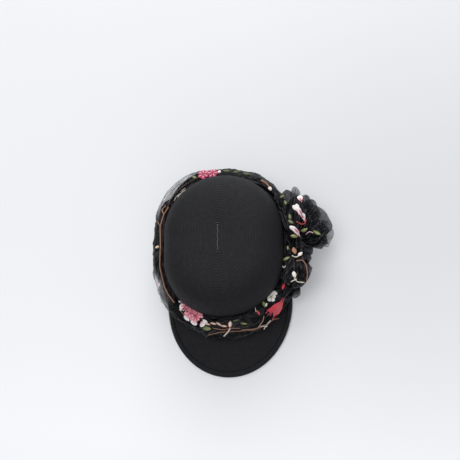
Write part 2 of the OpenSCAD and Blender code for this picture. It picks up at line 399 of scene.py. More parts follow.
class Finish:
    """A material under construction, round one Principled shader."""

    def __init__(self, name, **constants):
        self.material = bpy.data.materials.new(name)
        self.material.use_nodes = True
        self.tree = self.material.node_tree
        self.shader = self.tree.nodes["Principled BSDF"]
        for key, value in constants.items():
            self.shader.inputs[key.replace("_", " ")].default_value = value

    def add(self, kind, settings=None, values=None, out=0):
        node = self.tree.nodes.new(kind)
        for key, value in (settings or {}).items():
            if key == "stops":
                ramp = node.color_ramp
                while len(ramp.elements) < len(value):
                    ramp.elements.new(0.5)
                for stop, (at, tint) in zip(ramp.elements, value):
                    stop.position, stop.color = at, (*tint, 1)
            else:
                setattr(node, key, value)
        for key, value in (values or {}).items():
            self.connect(node.inputs[key], value)
        return Value(self, node.outputs[out])

    def connect(self, socket, value):
        if isinstance(value, Value):
            self.tree.links.new(value.socket, socket)
        elif hasattr(value, "__len__") and socket.type == "RGBA":
            socket.default_value = (*value[:3], 1)
        else:
            socket.default_value = value

    def feed(self, **links):
        for key, value in links.items():
            self.connect(self.shader.inputs[key.replace("_", " ")], value)
        return self.material

    def split(self, vector):
        node = self.add("ShaderNodeSeparateXYZ", None, {0: vector}).socket.node
        return [Value(self, node.outputs[i]) for i in range(3)]

    def uv(self, name):
        return self.add("ShaderNodeUVMap", {"uv_map": name})

    def object_place(self):
        return self.add("ShaderNodeTexCoord", None, None, out="Object")

    def noise(self, where, scale, detail=2.0):
        return self.add(
            "ShaderNodeTexNoise", None, {"Vector": where, "Scale": scale, "Detail": detail}
        )

    def wave(self, value):
        """Sine of a value, from 0 to 1."""
        return value.maths("SINE") * 0.5 + 0.5

    def blend(self, share, first, second):
        return self.add("ShaderNodeMix", {"data_type": "RGBA"}, {0: share, 6: first, 7: second}, out=2)

    def bump(self, height, distance, strength=1.0):
        return self.add(
            "ShaderNodeBump", None, {"Height": height, "Distance": distance, "Strength": strength}
        )


def shade(tint, factor):
    return tuple(min(1.0, c * factor) for c in tint)


def straw_finish(name, tint):
    """Flat plaits of dyed straw: two sets of strands that cross in each row."""
    finish = Finish(name, Specular_IOR_Level=0.18)
    along, across, _ = finish.split(finish.uv("braid"))
    across = across.maths("FRACT")
    place_at = finish.object_place()
    one = finish.wave(along * (TURN / 0.0024) + across * (TURN * 1.2))
    other = finish.wave(along * (TURN / 0.0024) - across * (TURN * 1.2))
    plait = one.maths("MAXIMUM", other)
    strand = finish.add("ShaderNodeCombineXYZ", None, {0: along})
    dash = finish.noise(strand, 110, 3)
    groove = (across * math.pi).maths("SINE").maths("POWER", 0.4)
    fibre = finish.noise(place_at, 1800, 2)
    patch = finish.noise(place_at, 60, 3)
    grain = finish.noise(place_at, 420, 2)
    tone = plait * 0.25 + fibre * 0.35 + patch * 0.2 + grain * 0.3 + (dash - 0.5) * 0.9
    # Colour darkens towards each row's edges with the groove: painted shade in the grooves between
    # rows.
    base = finish.blend(tone * (groove * 0.4 + 0.6), shade(tint, 0.2), shade(tint, 2.4))
    relief = plait * 0.7 + groove * 0.6 + fibre * 0.5 + dash * 1.2 + grain * 1.6
    return finish.feed(
        Base_Color=base,
        Roughness=0.72 - plait * 0.14 + patch * 0.1 - dash * 0.14,
        Normal=finish.bump(relief, 0.0004, 0.75),
    )


def tulle_finish(name, tint):
    """Sheer woven cloth; its cover map holds how densely it is gathered at each point and, in its
    second channel, the creases where painted highlights lighten its colour.
    """
    finish = Finish(
        name, Sheen_Weight=0.02, Sheen_Roughness=0.35, Sheen_Tint=(0.75, 0.78, 0.85, 1),
        Specular_IOR_Level=0.13,
    )
    along, across, _ = finish.split(finish.uv("cloth"))
    cover, crease, _ = finish.split(finish.uv("cover"))
    place_at = finish.object_place()
    cloud = finish.noise(place_at, 160, 3)
    weave = finish.wave(along * (TURN / 0.0008)) * finish.wave(across * (TURN / 0.0008))
    alpha = (cover * (cloud * 0.6 + 0.78) + crease * 0.35 + weave * 0.04).maths("MINIMUM", 1.0)
    # Painted highlight: the base colour is up to 14 times lighter along the crease mask.
    base = finish.blend(crease.maths("POWER", 1.5), shade(tint, 0.4), shade(tint, 14.0))
    return finish.feed(
        Base_Color=base,
        Roughness=0.3 + cloud * 0.2,
        Alpha=alpha,
        Normal=finish.bump(weave, 0.0001, 0.3),
    )


def thread_finish(name, root, tip):
    """Satin stitches side by side, shading from a petal's root to its tip."""
    finish = Finish(
        name, Sheen_Weight=0.25, Sheen_Roughness=0.4, Specular_IOR_Level=0.45, Roughness=0.45
    )
    across, along, _ = finish.split(finish.uv("stitch"))
    place_at = finish.object_place()
    grain = finish.noise(place_at, 900, 2)
    mottle = finish.noise(place_at, 420, 2)
    row = finish.wave(across * (TURN / 0.0005) + grain * 2.0)
    share = (along * 1.2 + (mottle - 0.5) * 1.6).maths("MINIMUM", 1.0).maths("MAXIMUM", 0.0)
    hue = finish.blend(share, root, tip)
    base = finish.blend(row * 0.5 + grain * 0.4, shade(root, 0.5), hue)
    base = finish.blend(row * 0.4 + 0.6, base, hue)
    return finish.feed(
        Base_Color=base, Normal=finish.bump(row * 0.8 + grain * 0.3, 0.00025, 0.8)
    )


def ribbon_finish(name, tint, rib=0.0012, along_z=False):
    """Ribbed ribbon cloth, its ribs across its length."""
    finish = Finish(name, Specular_IOR_Level=0.3, Sheen_Weight=0.2)
    place_at = finish.object_place()
    x, y, z = finish.split(place_at)
    ribs = finish.wave((z if along_z else x + y) * (TURN / rib))
    fuzz = finish.noise(place_at, 1500, 2)
    return finish.feed(
        Base_Color=finish.blend(ribs * 0.6 + fuzz * 0.4, shade(tint, 0.5), shade(tint, 1.5)),
        Roughness=0.7 + fuzz * 0.2,
        Normal=finish.bump(ribs + fuzz * 0.3, 0.0003, 0.7),
    )


def canvas_finish(name, tint):
    finish = Finish(name, Specular_IOR_Level=0.2)
    place_at = finish.object_place()
    x, y, _ = finish.split(place_at)
    weave = finish.wave(x * (TURN / 0.001)) + finish.wave(y * (TURN / 0.001))
    fuzz = finish.noise(place_at, 700, 3)
    return finish.feed(
        Base_Color=finish.blend(weave * 0.4 + fuzz * 0.2, shade(tint, 0.6), shade(tint, 1.4)),
        Roughness=0.8 + fuzz * 0.15,
        Normal=finish.bump(weave, 0.0003, 0.6),
    )


def wire_finish(name, tint):
    finish = Finish(name, Metallic=1.0)
    place_at = finish.object_place()
    drawn = finish.noise(place_at, 1200, 3)
    return finish.feed(
        Base_Color=finish.blend(drawn, shade(tint, 0.7), shade(tint, 1.1)),
        Roughness=0.3 + drawn * 0.2,
        Normal=finish.bump(drawn, 0.00005, 0.4),
    )


def floor_finish(name):
    finish = Finish(name, Roughness=0.9, Specular_IOR_Level=0.1)
    # Painted light: the floor glows by its own emission to wash out the cap's shadows;
    # painted_shade_patch darkens the glow round (0.28, 0.04) m and near brightens it towards the front
    # (-Y).
    finish.shader.inputs["Emission Strength"].default_value = FLOOR_GLOW
    place_at = finish.object_place()
    cloud = finish.noise(place_at, 2.0, 2)
    x, y, _ = finish.split(place_at)
    off = (x - 0.28).maths("POWER", 2.0) + (y - 0.04).maths("POWER", 2.0)
    painted_shade_patch = 1.0 - (off * -9.0).maths("EXPONENT") * 0.42
    near = (0.5 - y * 1.1).maths("MINIMUM", 1.0).maths("MAXIMUM", 0.0)
    glow = painted_shade_patch * (near * near * 0.8 + 0.8)
    return finish.feed(
        Base_Color=finish.blend(cloud, (0.47, 0.48, 0.49), (0.5, 0.51, 0.52)),
        Emission_Color=finish.blend(glow * 0.8, (0.0, 0.0, 0.0), (1.2, 1.2, 1.24)),
    )


# ---- The stage ----

# Strength of the floor's own glow, painted light that washes out shadows.
FLOOR_GLOW = 0.32
FRAME_WIDTH = 0.676  # width that the camera takes in at the cap
LENS = 106
SENSOR = 36
TIP_TO_VISOR = 16.0  # degrees that the camera leans over the visor
TIP_TO_BOW = 9.8  # degrees that it leans over the bow
AIM_RIGHT, AIM_UP = -0.0007, 0.0384  # the point it looks at, from the origin
ROOM_LIGHT = 0.46
LAMPS = (  # name, place, width across, watts
    ("window", (0.1, 1.9, 1.15), 1.6, 40),
    ("overhead", (-0.4, 0.1, 2.4), 1.8, 22.4),
    ("fill", (0.5, -1.6, 1.4), 1.8, 5.6),
)


class STAGE_OT_studio(bpy.types.Operator):
    """Pale floor, soft light and a camera over the cap, tipped towards the visor and the bow"""

    bl_idname = "cap.studio"
    bl_label = "Studio"

    def execute(self, context):
        scene = context.scene
        scene.view_settings.view_transform = "Standard"
        tip_x, tip_y = (math.tan(math.radians(tip)) for tip in (TIP_TO_BOW, TIP_TO_VISOR))
        towards = Vector((tip_x, -tip_y, 1)).normalized()
        upward = (Vector((0, 1, 0)) - towards * towards.y).normalized()
        right = upward.cross(towards)
        aim = right * AIM_RIGHT + upward * AIM_UP
        data = bpy.data.cameras.new("camera")
        data.lens, data.sensor_width = LENS, SENSOR
        data.clip_end = 20
        camera = bpy.data.objects.new("camera", data)
        scene.collection.objects.link(camera)
        distance = FRAME_WIDTH * LENS / SENSOR
        turned = Matrix((right, upward, towards)).transposed().to_4x4()
        camera.matrix_world = Matrix.Translation(aim + towards * distance) @ turned
        scene.camera = camera

        floor = sheet_mesh(
            "floor", 8, 8, lambda u, v: Vector(((u - 0.5) * 8, (v - 0.5) * 8, -0.0004))
        )
        floor.data.materials.append(floor_finish("pale floor"))

        world = bpy.data.worlds.new("soft room")
        world.use_nodes = True
        back = world.node_tree.nodes["Background"]
        back.inputs["Color"].default_value = (0.93, 0.95, 1.0, 1)
        back.inputs["Strength"].default_value = ROOM_LIGHT
        scene.world = world
        for values in LAMPS:
            self.lamp(scene, *values)
        return {"FINISHED"}

    @staticmethod
    def lamp(scene, name, where, size, power):
        data = bpy.data.lights.new(name, "AREA")
        data.shape, data.size, data.energy = "DISK", size, power
        lamp = bpy.data.objects.new(name, data)
        lamp.location = where
        away = Vector(where) - Vector((0, 0, 0.05))
        lamp.rotation_euler = away.to_track_quat("Z", "Y").to_euler()
        scene.collection.objects.link(lamp)


# ---- Straw braid ----

ROW_CUTS = (0.0, 0.16, 0.5, 0.84)  # shares of a row's width where its mesh is cut
ROW_RISE = (0.0, 0.75, 1.0, 0.6)  # share of the relief at each cut


def row_at(k):
    """Row number, share across the row and share of the relief for mesh line k."""
    row, cut = divmod(k, len(ROW_CUTS))
    return row + ROW_CUTS[cut], ROW_RISE[cut]


class CAP_OT_crown(bpy.types.Operator):
    """The crown: one braid sewn in a spiral from a straight slit down to the rim"""

    bl_idname = "cap.crown"
    bl_label = "Crown"

    def execute(self, context):
        form = Form(context.scene)
        straw = straw_finish("crown straw", context.scene.cap_colours.straw)
        spiral = self.spiral(form)
        spiral.data.materials.append(straw)
        stitches = self.start_of_braid(context.scene.cap_colours.straw)
        crown = join("crown_braid_spiral", [spiral, *stitches])
        hand_over(crown, "straw_braid", "crown_braid")
        return {"FINISHED"}

    @staticmethod
    def spiral(form):
        """Outside and inside of the crown as one closed shell."""
        cap = form.cap
        pitch, columns, inside = cap.braid_pitch, 200, 24
        rows = int(form.side[0][-1] / pitch) + 3
        outside = rows * len(ROW_CUTS)
        lines = outside + inside
        rim_z = 0.0014
        ends = {}

        def end_of(u):
            key = round(u * columns) % columns
            if key not in ends:
                _, dx, dy = form.station(key / columns)
                ends[key] = form.side_length_to(max(rim_z, form.arch(dx, dy) + 0.0003))
            return ends[key]

        def rule(u, v):
            k = round(v * lines)
            last = end_of(u)
            centre, dx, dy = form.station(u)
            if k > outside:
                r, z, nr, nz = form.on_side(last * (lines - k) / (inside - 1))
                return place(centre, dx, dy, r - nr * cap.braid_wall, z - nz * cap.braid_wall)
            row, rise = row_at(k)
            s = (row - 1 + u) * pitch
            r, z, nr, nz = form.on_side(min(max(s, 0.0), last))
            lift = cap.braid_relief * rise if 0 < s < last else 0.0
            return place(centre, dx, dy, r + lift * nr, z + lift * nz)

        def run(row, u):
            s = max(0.0, (row - 0.5 + u) * pitch)
            return 4 * HALF_SLIT * (row + u) + math.pi * s * s / pitch

        def braid_uv(u, v, middle_u, middle_v):
            k = round(v * lines)
            row = int(middle_v * lines) // len(ROW_CUTS)
            if k > outside or middle_v * lines > outside:
                return (u * 0.5, (lines - k) * 1.75)
            return (run(row, u), row_at(k)[0] - row)

        crown = sheet_mesh("crown_spiral", columns, lines, rule, {"braid": braid_uv})
        edit(crown, weld)
        return crown

    @staticmethod
    def start_of_braid(tint):
        """Stitches that close the slit, and the turned ends of the braid's first length."""
        thread = thread_finish("slit stitches", shade(tint, 8), shade(tint, 22))
        top = CROWN_H + 0.0006
        steps = 36
        line = []
        for i in range(steps + 1):
            t = i / steps
            sway = 0.0004 * math.sin(t * 19) + 0.0002 * math.sin(t * 47)
            line.append(Vector((sway, mix(-HALF_SLIT, HALF_SLIT, t), top)))
        bars = [tube("slit_seam", line, 0.0005, sides=6)]
        for end in (-1, 1):
            for step in range(1, 3):
                y, half = end * (HALF_SLIT + 0.0008 + 0.003 * (step - 1)), 0.0016 * step
                bar = [Vector((half * math.sin(a), y - end * 0.001 * (1 - math.cos(a)), top))
                       for a in (-1.4, -1.0, -0.5, 0, 0.5, 1.0, 1.4)]
                bars.append(tube(f"slit_end_{end}_{step}", bar, 0.0003, sides=6))
        for bar in bars:
            bar.data.materials.append(thread)
        return bars


def visor_sheet(form, name, base, sign, thickness):
    """One layer of visor braid, its rows at even steps in from the outline."""
    cap = form.cap
    columns = 180
    deepest = -VISOR_LOW.y - HALF_SLIT - RIM_R + 0.004
    rows = int(deepest / cap.braid_pitch) + 1
    lines = rows * len(ROW_CUTS)
    backing = 10
    end = cap.visor_end

    def towards(u):
        h = mix(-end, end, u)
        return math.sin(h), -math.cos(h)

    def skew(u):
        """Stretch of a step across the rows when it is taken straight out from the slit."""
        a, b = towards(u - 0.001), towards(u + 0.001)
        change = (form.edge_r(*b) - form.edge_r(*a)) / (0.002 * 2 * end)
        return math.hypot(1, change / form.edge_r(*towards(u)))

    def rule(u, v):
        dx, dy = towards(u)
        k = round(v * (lines + backing))
        edge, inner = form.edge_r(dx, dy) - 0.001, RIM_R + 0.0004
        if k > lines:
            r = mix(inner, edge, min(1.0, (k - lines - 1) / (backing - 2)))
            flat = thickness if k < lines + backing else 0.0
            return place(-HALF_SLIT, dx, dy, r, form.visor_z(dx, dy, r) + base - sign * flat)
        row, rise = row_at(k)
        r = edge - row * cap.braid_pitch * skew(u)
        lift = cap.braid_relief * rise if r > inner and k else 0.0
        r = max(r, inner)
        z = form.visor_z(dx, dy, r) + base + sign * lift
        return place(-HALF_SLIT, dx, dy, r, z)

    def braid_uv(u, v, middle_u, middle_v):
        k = min(round(v * (lines + backing)), lines)
        row = min(int(middle_v * (lines + backing)), lines - 1) // len(ROW_CUTS)
        radius = form.edge_r(*towards(u)) - (row + 0.5) * cap.braid_pitch
        return (mix(-end, end, u) * radius + row * 0.137, row_at(k)[0] - row)

    piece = sheet_mesh(name, columns, lines + backing, rule, {"braid": braid_uv})

    def work(bm):
        bmesh.ops.remove_doubles(bm, verts=bm.verts, dist=1e-5)
        bmesh.ops.holes_fill(bm, edges=[e for e in bm.edges if e.is_boundary], sides=0)
        bmesh.ops.dissolve_degenerate(bm, edges=bm.edges, dist=1e-5)
        bmesh.ops.recalc_face_normals(bm, faces=bm.faces)

    edit(piece, work)
    return piece


def edge_row(form, name):
    """The outermost row, folded over the visor's edge with the wire inside."""
    cap = form.cap
    half = cap.edge_thickness / 2
    fold = [(-5.6, 1.0), (-4.2, 1.12), (-2.2, 1.1), (-0.4, 1.0), (1.0, 0.8), (1.7, 0.45), (1.8, 0.0)]
    outline = [(a * MM, b * half) for a, b in fold]
    outline += [(a, -b) for a, b in outline[-2::-1]]
    inner = [(min(a, 0.6 * MM), b * 0.62) for a, b in reversed(outline)]
    section = outline + inner
    columns, end = 180, cap.visor_end

    def rule(u, v):
        h = mix(-end, end, u)
        dx, dy = math.sin(h), -math.cos(h)
        a, b = section[round(v * len(section)) % len(section)]
        b = max(b, -half) if b < 0 else b
        edge = form.edge_r(dx, dy)
        taper = min(1.0, (edge - RIM_R - 0.0005) / 0.0056)
        r = edge + (a * taper if a < 0 else min(a, WEB))
        return place(-HALF_SLIT, dx, dy, r, form.visor_z(dx, dy, r) + b)

    def braid_uv(u, v, middle_u, middle_v):
        return (mix(-end, end, u) * 0.12, v * 2)

    piece = sheet_mesh(name, columns, len(section), rule, {"braid": braid_uv})

    edit(piece, close_ends)
    return piece


class CAP_OT_visor(bpy.types.Operator):
    """The visor: two layers of braid, its stiffening between them and the row over its edge"""

    bl_idname = "cap.visor"
    bl_label = "Visor"

    def execute(self, context):
        form = Form(context.scene)
        tints = context.scene.cap_colours
        straw = straw_finish("visor straw", tints.straw)
        top = visor_sheet(form, "visor_top_rows", 0.0016, 1, 0.0011)
        under = visor_sheet(form, "visor_under_rows", -0.0016, -1, 0.0011)
        edge = edge_row(form, "visor_edge_row")
        for piece, node in ((top, "visor_top_braid"), (under, "visor_under_braid"),
                            (edge, "visor_edge_braid")):
            piece.data.materials.append(straw)
            hand_over(piece, "straw_braid", node)
        cad_finish("visor_edge_wire", wire_finish("drawn wire", tints.wire))
        cad_finish("visor_interlining", canvas_finish("stiff canvas", tints.interlining))
        return {"FINISHED"}


def cad_finish(node, material):
    """Gives a CAD node that stays a better finish."""
    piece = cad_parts[node]
    if not piece.material_slots:
        piece.data.materials.append(material)
    for slot in piece.material_slots:
        slot.material = material


class CAP_OT_rim(bpy.types.Operator):
    """The last row of braid turned under the rim, the sweatband, its tab and the label"""

    bl_idname = "cap.rim"
    bl_label = "Rim and lining"

    def execute(self, context):
        form = Form(context.scene)
        tints = context.scene.cap_colours
        rim = self.rim_row(form)
        rim.data.materials.append(straw_finish("rim straw", tints.straw))
        hand_over(rim, "straw_braid", "rim_edge_braid")
        band = self.sweatband(form)
        band.data.materials.append(ribbon_finish("grosgrain ribbon", tints.grosgrain))
        hand_over(band, "grosgrain", "sweatband")
        tab = self.soft_patch("sweatband_tab_folded", "sweatband_tab", 0.0004)
        tab.data.materials.append(ribbon_finish("grosgrain tab", tints.grosgrain, along_z=True))
        hand_over(tab, "grosgrain", "sweatband_tab")
        label = self.soft_patch("blank_label_woven", "blank_label", 0.0003)
        label.data.materials.append(ribbon_finish("label cloth", tints.label, 0.0006, True))
        hand_over(label, "label_cloth", "blank_label")
        return {"FINISHED"}

    @staticmethod
    def rim_row(form):
        """A folded row that hooks under the crown's edge behind the visor's ends."""
        low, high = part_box("rim_edge_braid")
        out, tall = high.x - RIM_R, high.z
        section = [
            (-0.0022, 0.0006), (-0.0015, 0.0), (out - 0.0006, 0.0), (out, 0.0006),
            (out + 0.0001, tall * 0.5), (out - 0.0002, tall * 0.9), (out - 0.0007, tall),
            (0.0004, tall * 0.9), (0.0003, 0.0011), (-0.0021, 0.0011),
        ]
        end = math.degrees(math.asin(min(1.0, (-low.y - HALF_SLIT) / (RIM_R + out))))
        first, last = form.share_at(90 - end), form.share_at(270 + end)
        first = first - 1 if first > last else first
        columns = 200

        def rule(u, v):
            centre, dx, dy = form.station(mix(first, last, u))
            a, b = section[round(v * len(section)) % len(section)]
            return place(centre, dx, dy, RIM_R + a, b)

        piece = sheet_mesh(
            "rim_edge_row", columns, len(section), rule,
            {"braid": lambda u, v, mu, mv: (u * 0.42, v * 2)},
        )

        edit(piece, close_ends)
        return piece

    @staticmethod
    def sweatband(form):
        """A ribbon inside the crown, following the brow arch, with a rolled lower edge."""
        low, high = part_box("sweatband")
        width = high.z - form.cap.brow_rise
        inset = RIM_R - high.x + 0.0002
        columns, rows = 160, 22

        def rule(u, v):
            centre, dx, dy = form.station(u)
            k = round(v * rows)
            inner = k > rows // 2
            share = (rows - k if inner else k) / (rows // 2)
            z = 0.0016 + form.arch(dx, dy) + share * (width - 0.0016)
            wave = 0.0002 * math.sin(u * TURN * 23)
            back = 0.0006 if inner and k < rows else 0.0
            r = form.wall_r(z) - inset - 0.0003 - wave * (1 - share) - back
            return place(centre, dx, dy, r, z)

        piece = sheet_mesh("sweatband_ribbon", columns, rows, rule)
        edit(piece, weld)
        return piece

    @staticmethod
    def soft_patch(name, node, bulge):
        """A small stitched patch in the space that a CAD node holds."""
        low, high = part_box(node)
        middle, size = (low + high) / 2, high - low

        def rule(u, v):
            rise = bulge * math.sin(math.pi * u) ** 0.5 * math.sin(math.pi * v) ** 0.5
            return Vector((low.x + u * size.x, middle.y - rise, low.z + v * size.z))

        piece = sheet_mesh(name, 24, 16, rule)

        def work(bm):
            weld(bm)
            bmesh.ops.solidify(bm, geom=bm.faces[:], thickness=0.0003)
            bmesh.ops.recalc_face_normals(bm, faces=bm.faces)

        edit(piece, work)
        return piece


# ---- Tulle ----


class Drape:
    """A sheet of cloth kept as a grid of points, so that embroidery can lie on it."""

    def __init__(self, points):
        self.points = points  # columns by rows by 3
        self.columns, self.rows = points.shape[0] - 1, points.shape[1] - 1

    def at(self, u, v):
        x = min(max(u, 0.0), 1.0) * self.columns
        y = min(max(v, 0.0), 1.0) * self.rows
        i, j = min(int(x), self.columns - 1), min(int(y), self.rows - 1)
        fx, fy = x - i, y - j
        p = self.points
        low = p[i, j] * (1 - fx) + p[i + 1, j] * fx
        high = p[i, j + 1] * (1 - fx) + p[i + 1, j + 1] * fx
        return Vector(low * (1 - fy) + high * fy)


class Cover:
    """The cloth's upper surface in plan, evened out, for embroidery to lie on."""

    def __init__(self, drapes, cell=0.0012):
        self.cell = cell
        points = np.concatenate([drape.points.reshape(-1, 3) for drape in drapes])
        self.low = points[:, :2].min(axis=0) - 10 * cell
        index = ((points[:, :2] - self.low) / cell).astype(int)
        shape = index.max(axis=0) + 11
        height = np.full(shape, -1.0)
        np.maximum.at(height, (index[:, 0], index[:, 1]), points[:, 2])
        for _ in range(2):
            near = self.around(height).max(axis=0)
            height = np.where(height < 0, near, height)
        height = self.around(height).max(axis=0)
        for _ in range(6):
            near = self.around(height)
            known = near > 0
            total = np.where(known, near, 0).sum(axis=0)
            height = np.where(known.any(axis=0), total / np.maximum(1, known.sum(axis=0)), -1)
        self.height = height

    @staticmethod
    def around(grid):
        padded = np.pad(grid, 1, constant_values=-1.0)
        across, down = grid.shape
        return np.stack([padded[i:i + across, j:j + down] for i in range(3) for j in range(3)])

    def fall(self, x, y, step=0.003):
        """Slope of the cloth at (x, y), along X and along Y."""
        across = self.at(x + step, y).z - self.at(x - step, y).z
        down = self.at(x, y + step).z - self.at(x, y - step).z
        return across / (2 * step), down / (2 * step)

    def at(self, x, y):
        """The point of the cloth at (x, y)."""
        i = (x - self.low[0]) / self.cell - 0.5
        j = (y - self.low[1]) / self.cell - 0.5
        i = min(max(i, 0.0), self.height.shape[0] - 1.001)
        j = min(max(j, 0.0), self.height.shape[1] - 1.001)
        a, b = int(i), int(j)
        fi, fj = i - a, j - b
        h = self.height[a:a + 2, b:b + 2]
        weights = np.array([[(1 - fi) * (1 - fj), (1 - fi) * fj], [fi * (1 - fj), fi * fj]])
        weights = np.where(h > 0, weights, 0)
        total = weights.sum()
        return Vector((x, y, float((h * weights).sum() / total) if total > 0 else 0.012))


def grid_points(piece, columns, rows):
    """The points of a sheet_mesh object that hasn't been welded, as an array."""
    co = np.zeros(len(piece.data.vertices) * 3)
    piece.data.vertices.foreach_get("co", co)
    return co.reshape(rows + 1, columns + 1, 3).transpose(1, 0, 2)


def ripple(x, y, z, seed):
    return noise.noise(Vector((x + seed * 7.3, y - seed * 3.1, z + seed * 5.7)))


def bump_at(heading, middle, half):
    """1 at a heading in degrees, easing to 0 at half degrees away."""
    off = abs((heading - middle + 180) % 360 - 180)
    return smooth(half, half * 0.45, off)


def heading_of(dx, dy):
    return math.degrees(math.atan2(dx, -dy)) % 360


def ridge(value, sharp=4.0):
    """A crease mask, 1 where a ripple crosses zero; the tulle paints highlights along it."""
    return max(0.0, 1 - abs(value) * sharp)


def wound_turn(form, turn, name, passes, rows, seed):
    """A turn of the scarf: cloth swung up and down in pleats, each further out than the last."""
    columns = form.scarf.columns
    inner_share = 0.06

    def ripples(u, v):
        centre, dx, dy = form.station(u)
        px, py = dx * 0.1, centre + dy * 0.1
        slow = ripple(px * 22, py * 22, v * 1.5, seed)
        quick = ripple(px * 70, py * 70, v * 5.0, seed + 1)
        fine = ripple(px * 210, py * 210, v * 14.0, seed + 2)
        return slow, quick, fine

    def rule(u, v):
        centre, dx, dy = form.station(u)
        heading = heading_of(dx, dy)
        opened = bump_at(heading, 224, 34)
        loose = max(opened, bump_at(heading, 262, 44), bump_at(heading, 292, 22))
        slow, quick, fine = ripples(u, v)
        phase = math.pi * (passes * v + 0.55 * slow + 0.12 * quick)
        swing = math.cos(phase)
        reach = math.radians(mix(62, 88, 0.5 + 0.9 * quick + 0.5 * slow))
        up = max(-1.5, min(1.5, swing * reach + 0.25 * slow))
        share = mix(inner_share, 0.98, v**0.8) + 0.14 * quick * v + 0.03 * fine
        if turn == "upper":
            held = mix(1, 1.7, opened) if v < 0.62 else 1
            share *= held * mix(1, 1.2, loose * smooth(0.6, 0.75, v))
            share *= mix(1, 1.22, opened * smooth(0.6, 0.75, v))
            share *= mix(1, 1.1, smooth(110, 150, heading))
            share = min(share, 1.5 if v > 0.66 else mix(1.5, 1.2, opened))
        else:
            share *= mix(1, 0.55, opened)
            share *= mix(1, 1.25, bump_at(heading, 292, 22) * smooth(0.6, 0.8, v))
            share = min(share, 1.25)
        r, z = form.lens(turn, dx, dy, up, max(0.02, share))
        r -= 0.0009 * abs(math.sin(math.pi * (3 * swing + 4 * quick))) * v
        r = max(r, form.wall_r(max(z, 0)) + 0.0003)
        return place(centre, dx, dy, r, z)

    def cover_uv(u, v, middle_u, middle_v):
        _, dx, dy = form.station(u)
        heading = heading_of(dx, dy)
        sheer = max(bump_at(heading, 224, 32), bump_at(heading, 294, 22))
        slow, quick, fine = ripples(u, v)
        dense = mix(0.88, 0.66, smooth(0.5, 1.0, v))
        if turn == "upper":
            dense = mix(dense, 0.17, sheer * smooth(0.58, 0.7, v))
        else:
            dense = mix(dense, 0.22, sheer * smooth(0.5, 0.7, v))
        # The second channel marks creases and streaks, where the tulle paints highlights.
        painted_highlight_streak = ridge(ripple(dx * 2.2, dy * 2.2, v * 30, seed + 5), 7)
        return (dense, 0.3 * ridge(quick, 9) + 0.15 * ridge(slow, 14) + 0.45 * painted_highlight_streak)

    width = passes * 0.03
    around = 0.68

    def cloth_uv(u, v, middle_u, middle_v):
        return (u * around, v * width)

    piece = sheet_mesh(name, columns, rows, rule, {"cloth": cloth_uv, "cover": cover_uv})
    drape = Drape(grid_points(piece, columns, rows))
    edit(piece, merge_seam)
    return piece, drape


DRAPES = {}


class CAP_OT_scarf(bpy.types.Operator):
    """The scarf's two turns round the crown, with their rolled hems and tacking stitches"""

    bl_idname = "cap.scarf"
    bl_label = "Scarf"

    def execute(self, context):
        form = Form(context.scene)
        tint = context.scene.cap_colours.tulle
        upper, DRAPES["upper"] = wound_turn(form, "upper", "scarf_upper_gathers", 6, 96, 3)
        lower, DRAPES["lower"] = wound_turn(form, "lower", "scarf_lower_gathers", 5, 90, 8)
        tulle = tulle_finish("wound tulle", tint)
        upper.data.materials.append(tulle)
        lower.data.materials.append(tulle)
        hand_over(upper, "tulle", "scarf_upper_turn")
        hand_over(lower, "tulle", "scarf_lower_turn")
        hem_thread = thread_finish("scarf hem roll", shade(tint, 0.8), shade(tint, 2))
        for piece, key in ((upper, "upper"), (lower, "lower")):
            drape = DRAPES[key]
            line = [drape.at(i / 280, 1.0) for i in range(280)]
            hem = tube(f"scarf_{key}_hem", line, 0.00035, closed=True, sides=6)
            hem.data.materials.append(hem_thread)
            hand_over(hem, "black_thread")
        stitches = self.stitches(form)
        stitches.data.materials.append(thread_finish("tacking thread", (0.01,) * 3, (0.03,) * 3))
        hand_over(stitches, "black_thread", "tack_stitches")
        return {"FINISHED"}

    @staticmethod
    def stitches(form):
        """Short thread bars over the upper turn's top edge."""
        bars = []
        for heading in (-60, -20, 20, 60, 120, 160, 200, 240):
            centre, dx, dy = form.station(form.share_at(heading))
            r, z = form.lens("upper", dx, dy, math.pi / 2, 1)
            line = []
            for i in range(9):
                t = i / 8
                arc = 0.0012 * math.sin(math.pi * t)
                line.append(place(centre, dx, dy, r - 0.0014 + 0.004 * t, z + 0.0006 + arc))
            bars.append(tube(f"bar_{heading}", line, 0.0003, sides=6))
        return join("tacking_bars", bars)


# ---- The bow ----


PLEATS = 6  # in the cloth of a loop, where it leaves the knot


